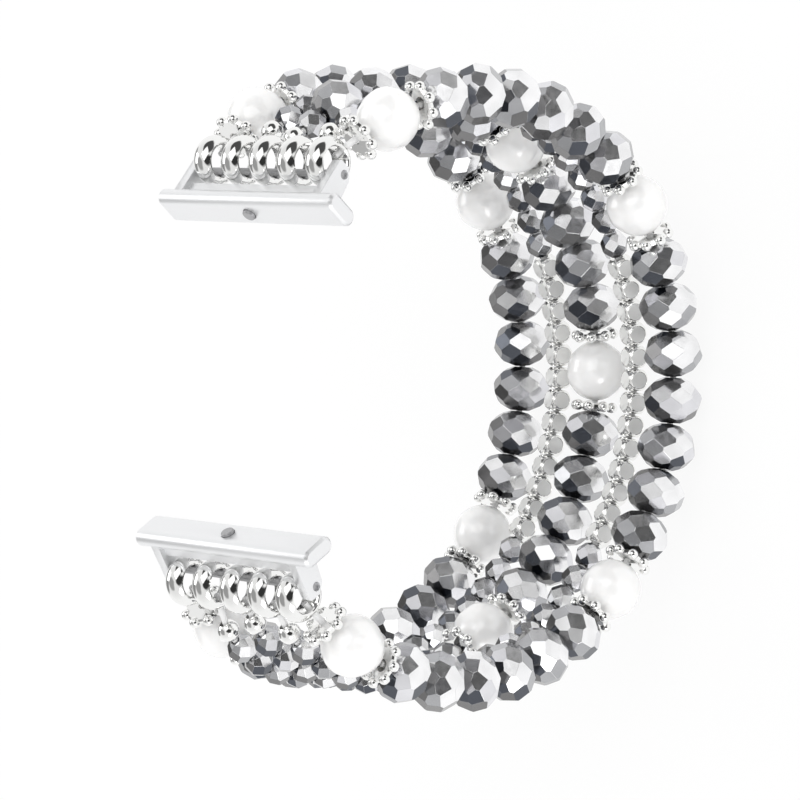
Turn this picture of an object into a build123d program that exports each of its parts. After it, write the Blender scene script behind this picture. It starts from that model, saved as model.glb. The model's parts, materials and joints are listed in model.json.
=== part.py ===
"""Elastic watch band: five strands of beads between two slide-in metal adapters.

The band lies as a loop about the X axis and stands on its lowest beads, open at the top
between the two adapters. X runs across the band, Y from the lower adapter to the upper one,
and Z up.
"""

import os
from math import cos, pi, radians, sin, sqrt

from build123d import *

os.makedirs("parts", exist_ok=True)

# The loop and the spread of its strands
loop_radius = 31.34  # of the cord line, seen along X
bead_gap = 0.195  # between neighbours on the fullest strand
widest_gap = 0.25  # between neighbours, where the rest of the room lies beside the rings
inner_spread = 5.8  # a narrow strand's distance from the middle, at the back
outer_spread = 11.6  # an edge strand's distance from the middle, at the back
inner_spread_last = 5.1  # the same where the last bend is
outer_spread_last = 10.7
ring_pitch = 4.25  # between the rings on a cross rod

# How far the inner strands, which are a little longer, hang out of the loop near their lower rings
lower_sag = {-1: 2.6, 0: 2.0, 1: 1.8}
sag_steps = 60
sag_peak_share = 4 / 27  # the most that share² (1 - share) comes to

# Large cut crystals
crystal_radius = 3.3
crystal_length = 5.1
crystal_end_radius = 1.0
crystal_bore = 0.55
crystal_sides = 8

# Small cut crystals
small_radius = 1.55
small_length = 2.915
small_end_radius = 0.65
small_sides = 6

# Slopes of the three staggered rows of facets each side of the girdle, in degrees
facet_slopes = (17, 42, 64)

# Pearls, daisy spacers, rounded cubes and round end beads
pearl_radius = 3.45
pearl_length = 6.95
pearl_bore = 0.7
spacer_ball_radius = 0.62
spacer_ball_circle = 2.15
spacer_core_thickness = 0.7
spacer_balls = 8
spacer_length = 0.9  # that a spacer takes up, since its balls nest round its neighbours' ends
cube_side = 2.4
cube_rounding_radius = 1.56  # of the ball that rounds a cube's corners
cube_spin = -20  # degrees that the cubes are turned on their cord
round_radius = 1.22
small_bore = 0.5  # of cubes, round beads and small crystals

# Elastic cord, knotted inside each ring
cord_radius = 0.35
cord_setback = 0.45  # into the bead beside a bend, so that the ends clear when the band bends
cord_steps = 8
knot_radius = 0.6
knot_offset = 1.05  # from the ring's centre, towards the beads

# Rings on the cross rods
ring_radius = 2.75
ring_bore = 1.75
ring_width = 2.5
ring_rim = 0.25  # thickness at the ring's side
ring_cord_hole = 0.6
rod_radius = 0.5
rod_clearance = 0.05
rod_recess = 0.3  # from the ear's outer face

# Adapters, whose bars slide into a slot
adapter_tilt = -35  # of the line from the bar to the rod, in degrees above +Y
bar_length = 26.4
bar_height = 4.2
bar_thickness = 1.9
bar_back = 4.15  # from the rod's axis to the middle of the bar
bar_drop = 0.5
bar_end_chamfer = 0.3
web_thickness = 1.6
web_clearance = 0.6  # from the rings
ear_outer = 11.1
ear_thickness = 1.15
ear_reach = 0.95  # past the rod's axis
ear_front = 1.45  # in front of the rod's axis
ear_heel = 0.95  # behind the rod's axis
ear_heel_back = 1.5  # behind the rod's axis, where the ear meets the bar
ear_rounding = 0.35

# Spring button that locks the bar in its slot
button_radius = 0.72
button_length = 0.9
button_proud = 0.35
button_travel = 0.35
button_clearance = 0.05
button_rounding = 0.15
spring_radius = 0.6
spring_bore = 0.3
pocket_depth = 1.35

overrun = 0.5  # of a cutting tool past the face that it cuts

# Each strand, from the lower ring to the upper one
end_group = (("spacer", 1), ("pearl", 1), ("spacer", 1))
edge_strand = (
    *end_group, ("crystal", 6), *end_group, ("crystal", 7), *end_group, ("crystal", 6), *end_group,
)
far_edge_strand = (
    *end_group, ("crystal", 7), *end_group, ("crystal", 6), *end_group, ("crystal", 6), *end_group,
)
middle_strand = (
    ("round", 1), ("small", 10), *end_group, ("crystal", 5), *end_group,
    ("crystal", 4), *end_group, ("crystal", 5), ("small", 1), ("round", 1),
)
narrow_strand = (("round", 1), ("small", 16), ("cube", 13), ("small", 16), ("round", 1))
strands = {-2: far_edge_strand, -1: narrow_strand, 0: middle_strand, 1: narrow_strand, 2: edge_strand}

bead_lengths = {
    "crystal": crystal_length,
    "small": small_length,
    "pearl": pearl_length,
    "spacer": spacer_length,
    "cube": cube_side,
    "round": 2 * round_radius,
}
spin_step = 25  # degrees that each bead is turned on from the one before it

# The edge strand's beads after which the band bends, counted from its lower end
bend_beads = (17, 21, 24, 27)


def beads_of(strand):
    """List a strand's beads by kind, from the lower ring to the upper one."""
    return [kind for kind, count in strand for _ in range(count)]


def summed_length(strand):
    return sum(bead_lengths[kind] for kind in beads_of(strand))


# Half the arc from ring to ring, which the fullest strand fills
strand_reach = max(
    summed_length(strand) + bead_gap * (len(beads_of(strand)) + 1) for strand in strands.values()
) / 2
ring_arc = strand_reach + ring_radius


def strung(strand, slack=0):
    """Give (kind, run to the middle, run to the upper end) for each bead, and the gap between.

    A run is a length along the strand from the back of the loop.
    """
    beads = beads_of(strand)
    room = 2 * strand_reach + slack - summed_length(strand)
    gap = min(room / (len(beads) + 1), widest_gap)
    run = -strand_reach - slack + (room - gap * (len(beads) + 1)) / 2
    places = []
    for kind in beads:
        start = run + gap
        run = start + bead_lengths[kind]
        places.append((kind, (start + run) / 2, run))
    return places, gap


edge_places, edge_gap = strung(edge_strand)
bend_arcs = [edge_places[bead][2] + edge_gap / 2 for bead in bend_beads]
sag_arc = ring_arc - bend_arcs[2]


def spread(side, arc):
    """How far a strand lies from the middle of the band at an arc length from the back."""
    step = abs(side)
    wide = (0, inner_spread, outer_spread)[step]
    last = (0, inner_spread_last, outer_spread_last)[step]
    at_ring = ring_pitch * step
    arc = abs(arc)
    if arc <= bend_arcs[1]:
        out = wide
    elif arc <= bend_arcs[3]:
        out = wide + (last - wide) * (arc - bend_arcs[1]) / (bend_arcs[3] - bend_arcs[1])
    else:
        out = last + (at_ring - last) * (arc - bend_arcs[3]) / (ring_arc - bend_arcs[3])
    return out if side > 0 else -out


def hang(side, arc):
    """How far a strand hangs out of the loop, most at two thirds of the way to its lower ring."""
    share = max(0, (-arc - bend_arcs[2]) / sag_arc)
    return lower_sag.get(side, 0) * share**2 * (1 - share) / sag_peak_share


def loop_place(side, arc):
    """A strand's place at an arc length from the back, seen from the middle of the loop."""
    angle = arc / loop_radius
    reach = loop_radius + hang(side, arc)
    return Vector(spread(side, arc), reach * sin(angle), -reach * cos(angle))


def slack_of(side):
    """How much longer a hanging strand is than the stretch of the loop that it leaves."""
    if side not in lower_sag:
        return 0
    places = [loop_place(side, -bend_arcs[2] - sag_arc * step / sag_steps) for step in range(sag_steps + 1)]
    return sum((after - before).length for before, after in zip(places, places[1:])) - sag_arc


slacks = {side: slack_of(side) for side in strands}

# The middle pearl is the lowest bead, and the band stands on it
low_arc = min((abs(run), run) for kind, run, _ in strung(middle_strand, slacks[0])[0] if kind == "pearl")[1]
loop_height = loop_radius * cos(low_arc / loop_radius) + pearl_radius


def arc_at(side, run):
    """The loop's arc length at a run along a strand."""
    beyond = -run - bend_arcs[2]
    if beyond <= 0:
        return run
    return -bend_arcs[2] - beyond * sag_arc / (sag_arc + slacks[side])


def cord_point(side, run):
    """The point of a strand's cord line at a run from the back of the loop."""
    return loop_place(side, arc_at(side, run)) + Vector(0, 0, loop_height)


def bead_plane(side, run, length, spin=0):
    """A plane across the strand, whose Z axis runs along it from the lower ring to the upper."""
    along = cord_point(side, run + length / 2) - cord_point(side, run - length / 2)
    middle = cord_point(side, run)
    outward = middle - Vector(middle.X, 0, loop_height)
    return Plane(origin=middle, x_dir=outward.rotate(Axis((0, 0, 0), along), spin), z_dir=along)


def segment_of(side, run):
    """Which piece of the band a bead lies in: 0 at the back, up to 4 and -4 at the rings."""
    arc = arc_at(side, run)
    step = sum(1 for bend in bend_arcs if abs(arc) > bend)
    return step if arc > 0 else -step


def segment_name(segment):
    if segment == 0:
        return "back"
    return f"upper_{segment}" if segment > 0 else f"lower_{-segment}"


def finish(part, name):
    part.label = name
    export_step(part, f"parts/{name}.step")


# Bead forms, each about its own middle with the cord along Z


def cut_bead(radius, length, end_radius, bore, sides):
    """Grind a rod to a bead with flat ends, whose facets touch an ellipse turned about the cord."""
    ridge_share = (1 - cos(pi / sides)) / (1 + cos(pi / sides))
    tilts = [radians(slope) for slope in facet_slopes]
    girdle = radius * cos(tilts[0]) / (1 + ridge_share)
    tall = (length / 2) ** 2 / (1 - (end_radius / radius) ** 2)
    wide = (girdle**2 - tall * sin(tilts[0]) ** 2) / cos(tilts[0]) ** 2
    with BuildPart() as bead:
        Cylinder(2 * radius, length)
        for row, tilt in enumerate(tilts):
            distance = sqrt(wide * cos(tilt) ** 2 + tall * sin(tilt) ** 2)
            for end in (1, -1):
                for side in range(sides):
                    turn = 2 * pi * (side + (row + (end < 0)) / 2) / sides
                    normal = Vector(cos(turn) * cos(tilt), sin(turn) * cos(tilt), end * sin(tilt))
                    split(bisect_by=Plane(origin=normal * distance, z_dir=normal), keep=Keep.BOTTOM)
        Cylinder(bore, length, mode=Mode.SUBTRACT)
    return bead.part


def pearl_bead():
    with BuildPart() as bead:
        with BuildSketch(Plane.XZ):
            with BuildLine():
                EllipticalCenterArc((0, 0), pearl_radius, pearl_length / 2, start_angle=-90, arc_size=180)
                Line((0, pearl_length / 2), (0, -pearl_length / 2))
            make_face()
        revolve(axis=Axis.Z)
        Cylinder(pearl_bore, pearl_length, mode=Mode.SUBTRACT)
    return bead.part


def daisy_spacer():
    with BuildPart() as bead:
        Cylinder(spacer_ball_circle, spacer_core_thickness)
        with PolarLocations(spacer_ball_circle, spacer_balls):
            Sphere(spacer_ball_radius)
        Cylinder(crystal_bore, 2 * spacer_ball_radius, mode=Mode.SUBTRACT)
    return bead.part


def rounded_cube():
    """A cube whose corners are rounded by a ball, which leaves six flat round faces."""
    with BuildPart() as bead:
        Box(cube_side, cube_side, cube_side)
        Sphere(cube_rounding_radius, mode=Mode.INTERSECT)
        Cylinder(small_bore, cube_side, mode=Mode.SUBTRACT)
    return bead.part


def round_bead():
    with BuildPart() as bead:
        Sphere(round_radius)
        Cylinder(small_bore, 2 * round_radius, mode=Mode.SUBTRACT)
    return bead.part


bead_forms = {
    "crystal": cut_bead(crystal_radius, crystal_length, crystal_end_radius, crystal_bore, crystal_sides),
    "small": cut_bead(small_radius, small_length, small_end_radius, small_bore, small_sides),
    "pearl": pearl_bead(),
    "spacer": daisy_spacer(),
    "cube": rounded_cube(),
    "round": round_bead(),
}
node_stems = {
    "crystal": "crystals",
    "small": "small_crystals",
    "spacer": "daisy_spacers",
    "cube": "silver_cubes",
    "round": "round_beads",
}
strand_names = {-2: "far_edge", 0: "middle", 2: "near_edge"}


def place_beads(kind, planes, name):
    """Put copies of one bead form on their planes, as one node of separate solids."""
    with BuildPart() as group:
        with Locations(*planes):
            add(bead_forms[kind])
    finish(group.part, name)


def pearl_name(side, segment):
    if segment == 0:
        return "pearl_middle_back"
    rank = "end" if abs(segment) == len(bend_arcs) else "side"
    return f"pearl_{strand_names[side]}_{'upper' if segment > 0 else 'lower'}_{rank}"


def make_beads():
    groups = {}
    for side, strand in strands.items():
        for count, (kind, run, _) in enumerate(strung(strand, slacks[side])[0]):
            segment = segment_of(side, run)
            spin = cube_spin if kind == "cube" else spin_step * count
            plane = bead_plane(side, run, bead_lengths[kind], spin)
            if kind == "pearl":
                name = pearl_name(side, segment)
                print(f"{name} spins about {plane.z_dir} through {plane.origin}")
            else:
                name = f"{node_stems[kind]}_{segment_name(segment)}"
            groups.setdefault((kind, name), []).append(plane)
    for (kind, name), planes in groups.items():
        place_beads(kind, planes, name)


def ring_run(side, end):
    return ring_arc if end > 0 else -ring_arc - slacks[side]


def ring_centre(side, end):
    return cord_point(side, ring_run(side, end))


def make_rings(end):
    """Half-round rings that hang on the rod, each with a hole for its cord."""
    with BuildPart() as rings:
        for side in strands:
            centre = ring_centre(side, end)
            with BuildPart(mode=Mode.PRIVATE) as ring:
                with BuildSketch(Plane.XY):
                    with BuildLine():
                        half = ring_width / 2
                        rim = ring_bore + ring_rim
                        ThreePointArc((-half, rim), (0, ring_radius), (half, rim))
                        Polyline((half, rim), (half, ring_bore), (-half, ring_bore), (-half, rim))
                    make_face()
                revolve(axis=Axis.X)
            add(ring.part.moved(Location(centre)))
            wall = ring_run(side, end) - end * (ring_bore + ring_radius) / 2
            with Locations(Plane(origin=centre, z_dir=cord_point(side, wall) - centre)):
                Cylinder(
                    ring_cord_hole, ring_radius + overrun,
                    align=(Align.CENTER, Align.CENTER, Align.MIN), mode=Mode.SUBTRACT,
                )
    finish(rings.part, f"rings_{'upper' if end > 0 else 'lower'}")


def cord_span(side, segment):
    """The runs between which one piece of the band holds a strand's cord."""
    beads, gap = strung(strands[side], slacks[side])
    held = [bead for bead in beads if segment_of(side, bead[1]) == segment]
    low = held[0][2] - bead_lengths[held[0][0]] - gap / 2 + cord_setback
    high = held[-1][2] + gap / 2 - cord_setback
    if segment == len(bend_arcs):
        high = ring_run(side, 1) - knot_offset
    if segment == -len(bend_arcs):
        low = ring_run(side, -1) + knot_offset
    return low, high


def make_cords(segment):
    """The stretches of the five cords in one piece of the band, knotted in the rings."""
    with BuildPart() as cords:
        for side in strands:
            low, high = cord_span(side, segment)
            runs = [low + (high - low) * step / cord_steps for step in range(cord_steps + 1)]
            with BuildLine() as route:
                Spline(*[cord_point(side, run) for run in runs])
            with BuildSketch(route.line ^ 0):
                Circle(cord_radius)
            sweep()
            if abs(segment) == len(bend_arcs):
                knot = high if segment > 0 else low
                along = bead_plane(side, knot, knot_radius).z_dir
                way = 1 if segment > 0 else -1
                with Locations(Plane(origin=cord_point(side, knot), x_dir=along * way, z_dir=(1, 0, 0))):
                    Sphere(knot_radius)
    finish(cords.part, f"cords_{segment_name(segment)}")


# The adapter's own plane: X from the bar to the rod, Y up along the bar's height, Z across the band
rod_hang = ring_bore - rod_radius - rod_clearance
rod_point = ring_centre(0, 1) - Vector(0, rod_hang, 0)
adapter_along = Vector(0, cos(radians(adapter_tilt)), sin(radians(adapter_tilt)))
adapter_plane = Plane(origin=rod_point, x_dir=adapter_along, z_dir=(1, 0, 0))
bar_face = -bar_back - bar_thickness / 2
bar_middle_y = -bar_drop
pocket_floor = bar_face + pocket_depth
button_plane = Plane(
    origin=adapter_plane.from_local_coords((pocket_floor, bar_middle_y, 0)),
    z_dir=-adapter_along,
)


def adapter():
    """Slide-in bar, web and two ears, with a pocket for the button and holes for the rod."""
    web_end = -(ring_radius - rod_hang) - web_clearance
    with BuildPart() as body:
        with BuildSketch(adapter_plane):
            with Locations((-bar_back, bar_middle_y)):
                SlotOverall(bar_height, bar_thickness, rotation=90)
        extrude(amount=bar_length / 2, both=True)
        bar_ends = body.faces().filter_by(Axis.X).edges()
        chamfer(bar_ends, bar_end_chamfer)
        with BuildSketch(adapter_plane):
            with Locations(((web_end - bar_back) / 2, 0)):
                Rectangle(web_end + bar_back, web_thickness)
        extrude(amount=ear_outer, both=True)
        for side in (1, -1):
            with BuildSketch(adapter_plane.offset(side * (ear_outer - ear_thickness / 2))) as ear:
                with BuildLine():
                    Polyline(
                        (-bar_back, ear_front), (ear_reach, ear_front), (ear_reach, 0),
                        (0, -ear_heel), (-bar_back, -ear_heel_back), close=True,
                    )
                make_face()
                fillet(ear.vertices().sort_by(Axis.X)[2:], ear_rounding)
            extrude(amount=ear_thickness / 2, both=True)
        with BuildSketch(adapter_plane):
            Circle(rod_radius)
        extrude(amount=ear_outer + overrun, both=True, mode=Mode.SUBTRACT)
        with Locations(button_plane):
            Cylinder(
                button_radius + button_clearance, pocket_depth + overrun,
                align=(Align.CENTER, Align.CENTER, Align.MIN), mode=Mode.SUBTRACT,
            )
    return body.part


def rod():
    with BuildPart() as bar:
        with BuildSketch(adapter_plane):
            Circle(rod_radius)
        extrude(amount=ear_outer - rod_recess, both=True)
    return bar.part


def lock_button():
    with BuildPart() as button:
        rest = pocket_depth + button_proud - button_length
        with Locations(button_plane.offset(rest)):
            Cylinder(button_radius, button_length, align=(Align.CENTER, Align.CENTER, Align.MIN))
        head = button.faces().sort_by(Axis(button_plane.origin, button_plane.z_dir))[-1]
        fillet(head.edges(), button_rounding)
    return button.part


def button_spring():
    """A wave washer under the button, drawn at its pressed height."""
    height = pocket_depth + button_proud - button_length - button_travel
    with BuildPart() as spring:
        with Locations(button_plane):
            Cylinder(spring_radius, height, align=(Align.CENTER, Align.CENTER, Align.MIN))
            Cylinder(
                spring_bore, height, align=(Align.CENTER, Align.CENTER, Align.MIN), mode=Mode.SUBTRACT
            )
    return spring.part


def make_pair(form, name):
    """Write a piece of the upper adapter, and its mirror image for the lower one."""
    finish(form, f"{name}_upper")
    with BuildPart() as lower:
        mirror(form, about=Plane.XZ)
    finish(lower.part, f"{name}_lower")


make_beads()
for piece in range(-len(bend_arcs), len(bend_arcs) + 1):
    make_cords(piece)
for end in (1, -1):
    make_rings(end)
make_pair(adapter(), "adapter")
make_pair(rod(), "cross_rod")
make_pair(lock_button(), "lock_button")
make_pair(button_spring(), "button_spring")

print("bend arcs", [round(arc, 3) for arc in bend_arcs], "ring arc", round(ring_arc, 3))
print("loop height", round(loop_height, 4), "rod", rod_point, "adapter along", adapter_along)
print("button plane", button_plane.origin, button_plane.z_dir)
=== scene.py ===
"""The looks of the bead watch band, piece by piece, and the studio around it."""

import json
from collections import namedtuple
from math import asin, atan2, cos, hypot, pi, radians, sin, sqrt

import bmesh
import bpy
import numpy as np
from mathutils import Matrix, Vector, noise

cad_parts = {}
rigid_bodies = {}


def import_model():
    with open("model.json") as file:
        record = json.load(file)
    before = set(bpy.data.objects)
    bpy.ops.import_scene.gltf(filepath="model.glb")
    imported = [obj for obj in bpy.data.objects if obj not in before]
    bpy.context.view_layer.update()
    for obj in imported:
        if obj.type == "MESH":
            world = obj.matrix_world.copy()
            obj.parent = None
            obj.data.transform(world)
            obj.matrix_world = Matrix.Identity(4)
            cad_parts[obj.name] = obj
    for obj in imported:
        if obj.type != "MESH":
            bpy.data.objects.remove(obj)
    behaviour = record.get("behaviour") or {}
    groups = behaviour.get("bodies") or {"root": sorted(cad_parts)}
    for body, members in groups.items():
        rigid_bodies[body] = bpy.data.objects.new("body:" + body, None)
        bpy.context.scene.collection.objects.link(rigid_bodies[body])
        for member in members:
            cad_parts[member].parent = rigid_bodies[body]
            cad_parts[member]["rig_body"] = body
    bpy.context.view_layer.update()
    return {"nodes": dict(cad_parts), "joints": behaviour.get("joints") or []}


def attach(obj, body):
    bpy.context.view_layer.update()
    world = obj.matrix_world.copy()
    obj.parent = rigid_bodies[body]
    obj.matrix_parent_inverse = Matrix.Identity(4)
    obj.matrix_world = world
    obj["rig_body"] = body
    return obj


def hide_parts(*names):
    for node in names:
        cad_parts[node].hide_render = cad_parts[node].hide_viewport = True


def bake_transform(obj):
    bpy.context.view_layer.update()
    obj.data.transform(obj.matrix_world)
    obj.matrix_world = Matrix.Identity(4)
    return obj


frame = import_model()

bl_info = {
    "name": "Bead watch band",
    "version": (1, 0, 0),
    "blender": (4, 5, 0),
    "location": "View3D > Sidebar > Bead band",
    "description": "Strings crystals, pearls and silver beads between two slide-in adapters",
    "category": "Add Mesh",
}

MM = 0.001
X_AXIS, Z_AXIS = Vector((1, 0, 0)), Vector((0, 0, 1))

# Each kind of bead, with the stem of the frame's nodes that hold it
BEAD_STEMS = {
    "crystal": "crystals_", "small": "small_crystals_", "spacer": "daisy_spacers_",
    "cube": "silver_cubes_", "round": "round_beads_", "pearl": "pearl_",
}
# For each kind strung in groups: its pieces' stem, their slot and the first seed of their tones
STRUNG_KINDS = {
    "crystal": ("faceted_crystals", "crystal", 11),
    "small": ("faceted_small_crystals", "crystal", 41),
    "spacer": ("beaded_spacers", "silver_bead", 71),
    "cube": ("rounded_cubes", "silver_bead", 91),
    "round": ("polished_rounds", "silver_bead", 97),
}
STRAND_NAMES = {-2: "far_edge", -1: "far_narrow", 0: "middle", 1: "near_narrow", 2: "near_edge"}
CORD_SIDES = 14  # of a cord's section
STRETCH_SHARE = 1.01  # of the cord's radius, for the stretch over a bend

# A strand is told by how far it lies from the middle of the band
NARROW_FROM = 2.5 * MM
EDGE_FROM = 7.5 * MM
SPIN_STEP = radians(25)  # from one bead to the next
CUBE_SPIN = radians(-20)  # the cubes all lie alike
MERGE_DISTANCE = 0.002 * MM
CUT_TOLERANCE = 1e-6
FLAT_FACING = 0.99  # how squarely a bead's flat end faces along the cord

# A facet's tone is painted light, shade and reflection: how squarely it faces the bright side, or faces
# away from it, plus a little chance that adds a random tone
PAINTED_LIGHT_SIDE = (0.8, 0.29, 0.33)
CHANCE_RANGE = (-0.28, 0.22)
TONE_STEPS = (0.0, 0.24, 0.42, 0.58, 0.7)  # where smoke, slate, steel, pale and clear begin

# A pearl's skin: how closely its dents and growth rings lie, and how much each adds to the depth
DENT_SHIFT = Vector((3.1, 7.7, 1.9))  # through the noise, from one pearl to the next
BROAD_DENTS, FINE_DENTS, GROWTH_RINGS, RING_WANDER = 1.1, 2.6, 9, 4
MEAN_DEPTH, BROAD_DEPTH, FINE_DEPTH, RING_DEPTH = 0.5, 0.75, 0.25, 0.1
DENT_FADE = 1.6  # how soon the dents fade out towards the drilled ends

# How finely each turned form is drawn: places round it, and steps along its outline
PEARL_PLACES, PEARL_STEPS = 64, 40
ROUND_PLACES, ROUND_STEPS = 40, 24
RING_PLACES, RING_STEPS = 72, 16
HOLE_PLACES = 20

# The lamps: name, direction, distance, side and level
LAMPS = (
    ("key_softbox", (0.35, 0.45, 0.85), 0.45, 0.34, 0.2),
    ("side_softbox", (0.75, -0.75, 0.35), 0.5, 0.2, 0.12),
    ("back_softbox", (-0.8, 0.1, 0.6), 0.5, 0.25, 0.12),
)

# Dark cards that polished metal mirrors: direction, half width as a cosine, and how much stays light
DARK_CARDS = (
    ((0.72, 0.05, 0.69), 0.91, 0.04),
    ((0.38, 0.76, 0.52), 0.82, 0.08),
    ((-0.25, -0.3, 0.92), 0.9, 0.4),
    ((-0.97, -0.1, 0.2), 0.87, 0.3),
)
CARD_WAVES = 1.7  # how closely the cards' edges wave
CARD_RAGGEDNESS = 0.035  # how far those edges wander
CARD_SOFTNESS = 0.025  # how wide they blur
CEILING_LIGHT = 0.84  # of the white low down, in what metal mirrors
CEILING_FROM = 0.6  # sine of the height at which the ceiling begins
FLOOR_GLOW = 0.9  # how far the floor shows plain white instead of its shading
WHITE = (1, 1, 1, 1)
SENSOR_WIDTH = 36

Bead = namedtuple("Bead", "kind node centre along turn")


def find_joint(name):
    return next(joint for joint in frame["joints"] if joint["name"] == name)


def loop_circle():
    """The height of the loop's centre and its radius, from the first and the last bend."""
    _, y_low, z_low = find_joint("upper_bend_1")["pos_m"]
    _, y_high, z_high = find_joint("upper_bend_4")["pos_m"]
    height = (y_low**2 + z_low**2 - y_high**2 - z_high**2) / (2 * (z_low - z_high))
    return height, hypot(y_low, z_low - height)


LOOP_HEIGHT, LOOP_RADIUS = loop_circle()


def loop_angle(point):
    """The angle round the loop, from its back towards the upper adapter."""
    return atan2(point.y, LOOP_HEIGHT - point.z)


def loop_reach(point):
    """How far a point lies from the loop's centre, seen along X."""
    return hypot(point.y, point.z - LOOP_HEIGHT)


def loop_point(x, angle, reach=LOOP_RADIUS):
    return Vector((x, reach * sin(angle), LOOP_HEIGHT - reach * cos(angle)))


BEND_ANGLES = [loop_angle(Vector(find_joint(f"upper_bend_{step}")["pos_m"])) for step in (1, 2, 3, 4)]


def strand_of(x):
    step = 0 if abs(x) < NARROW_FROM else 1 if abs(x) < EDGE_FROM else 2
    return step if x > 0 else -step


def merged_node(node):
    """A CAD node's mesh, with its loose triangles joined."""
    work = bmesh.new()
    work.from_mesh(frame["nodes"][node].data)
    bmesh.ops.remove_doubles(work, verts=work.verts, dist=MERGE_DISTANCE)
    return work


def solid_centres(node):
    """The surface centre of each separate solid in a CAD node."""
    work = merged_node(node)
    centres = []
    unseen = set(work.faces)
    while unseen:
        first = unseen.pop()
        patch, front = [], [first]
        while front:
            face = front.pop()
            patch.append(face)
            beside = {other for edge in face.edges for other in edge.link_faces} & unseen
            unseen -= beside
            front.extend(beside)
        area = sum(face.calc_area() for face in patch)
        moment = sum((face.calc_center_median() * face.calc_area() for face in patch), Vector())
        centres.append(moment / area)
    work.free()
    return centres


def bead_turn(along, centre, spin):
    """The turn that puts a bead's Z axis along the strand and its X axis outward, then spins it."""
    outward = Vector((0, centre.y, centre.z - LOOP_HEIGHT))
    across = (outward - along * outward.dot(along)).normalized()
    across.rotate(Matrix.Rotation(spin, 3, along))
    return Matrix((across, along.cross(across), along)).transposed()


def read_strands():
    """Find every bead in the frame, strand by strand, in the order in which it is strung."""
    found = {side: [] for side in range(-2, 3)}
    for node in frame["nodes"]:
        kind = next((kind for kind, stem in BEAD_STEMS.items() if node.startswith(stem)), None)
        if kind:
            for centre in solid_centres(node):
                found[strand_of(centre.x)].append((loop_angle(centre), centre, kind, node))
    strands = {}
    for side, beads in found.items():
        beads.sort(key=lambda bead: bead[0])
        strands[side] = []
        for count, (angle, centre, kind, node) in enumerate(beads):
            before, after = beads[max(count - 1, 0)], beads[min(count + 1, len(beads) - 1)]
            run = LOOP_RADIUS * (after[0] - before[0])
            aside = X_AXIS * (after[1].x - before[1].x) / run
            rise = loop_reach(after[1]) - loop_reach(before[1])
            outward = Vector((0, sin(angle), -cos(angle))) * rise / run
            along = (Vector((0, cos(angle), sin(angle))) + aside + outward).normalized()
            turn = bead_turn(along, centre, CUBE_SPIN if kind == "cube" else SPIN_STEP * count)
            strands[side].append(Bead(kind, node, centre, along, turn))
    return strands


STRANDS = read_strands()


# Settings


def length(name, value, description):
    """A length property, given in millimetres and kept in metres."""
    return bpy.props.FloatProperty(
        name=name, default=value * MM, min=0, precision=5, unit="LENGTH", description=description
    )


def colour(name, value, description):
    return bpy.props.FloatVectorProperty(
        name=name, default=value, min=0, max=1, subtype="COLOR", description=description
    )


class BAND_PG_crystals(bpy.types.PropertyGroup):
    radius: length("Radius", 3.3, "Radius of a large crystal over its girdle")
    length: length("Length", 5.1, "Length of a large crystal along the cord")
    end_radius: length("End radius", 1.0, "Radius of a large crystal's flat end")
    bore: length("Bore", 0.55, "Radius of the hole for the cord")
    sides: bpy.props.IntProperty(name="Sides", default=8, min=5, description="Facets in each row")
    small_radius: length("Small radius", 1.55, "Radius of a small crystal over its girdle")
    small_length: length("Small length", 2.915, "Length of a small crystal along the cord")
    small_end_radius: length("Small end radius", 0.65, "Radius of a small crystal's flat end")
    small_bore: length("Small bore", 0.45, "Radius of the small crystals' hole")
    small_sides: bpy.props.IntProperty(name="Small sides", default=6, min=5, description="Facets in a row")
    slopes: bpy.props.FloatVectorProperty(
        name="Slopes", default=[radians(slope) for slope in (17, 42, 64)], subtype="EULER",
        description="Slopes of the three rows of facets, from the girdle to the end",
    )
    edge: length("Facet edge", 0.012, "Width of the polished edge between two facets")
    slate: colour("Slate", (0.085, 0.093, 0.112), "The darkest facets")
    smoke: colour("Smoke", (0.17, 0.168, 0.17), "Dark facets")
    steel: colour("Steel", (0.46, 0.465, 0.48), "Middle grey facets")
    pale: colour("Pale", (0.8, 0.8, 0.83), "Pale facets")
    clear: colour("Clear", (0.97, 0.97, 0.98), "The brightest facets")


class BAND_PG_pearls(bpy.types.PropertyGroup):
    radius: length("Radius", 3.45, "Largest radius of a pearl")
    length: length("Length", 6.95, "Length of a pearl along the cord")
    bore: length("Bore", 0.7, "Radius of the drilled hole")
    unevenness: length("Unevenness", 0.2, "How deep the dents of the pearl's skin are")
    body: colour("Body", (0.965, 0.96, 0.952), "Colour of the pearl")


class BAND_PG_silver(bpy.types.PropertyGroup):
    ball_radius: length("Ball radius", 0.62, "Radius of a daisy spacer's balls")
    ball_circle: length("Ball circle", 2.15, "Radius of the circle that the balls lie on")
    balls: bpy.props.IntProperty(name="Balls", default=8, min=3, description="Balls round a spacer")
    core_thickness: length("Core thickness", 0.7, "Thickness of the disc inside the balls")
    core_bore: length("Core bore", 0.6, "Radius of the hole for the cord")
    spacer_length: length("Spacer length", 0.9, "Length of cord that a spacer takes up")
    cube_side: length("Cube side", 2.4, "Side of a rounded cube")
    cube_ball: length("Cube rounding ball", 1.56, "Radius of the ball that rounds the cube's corners")
    cube_groove: length("Cube groove", 0.08, "Width of the groove round each of a cube's flat faces")
    cube_bore: length("Cube bore", 0.5, "Radius of the hole for the cord")
    round_radius: length("Round bead radius", 1.22, "Radius of the round end beads")
    plating: colour("Plating", (0.93, 0.93, 0.92), "Colour of the spacers' and end beads' plating")
    cube_plating: colour("Cube plating", (0.9, 0.9, 0.885), "Colour of the cubes' plating")


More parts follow.
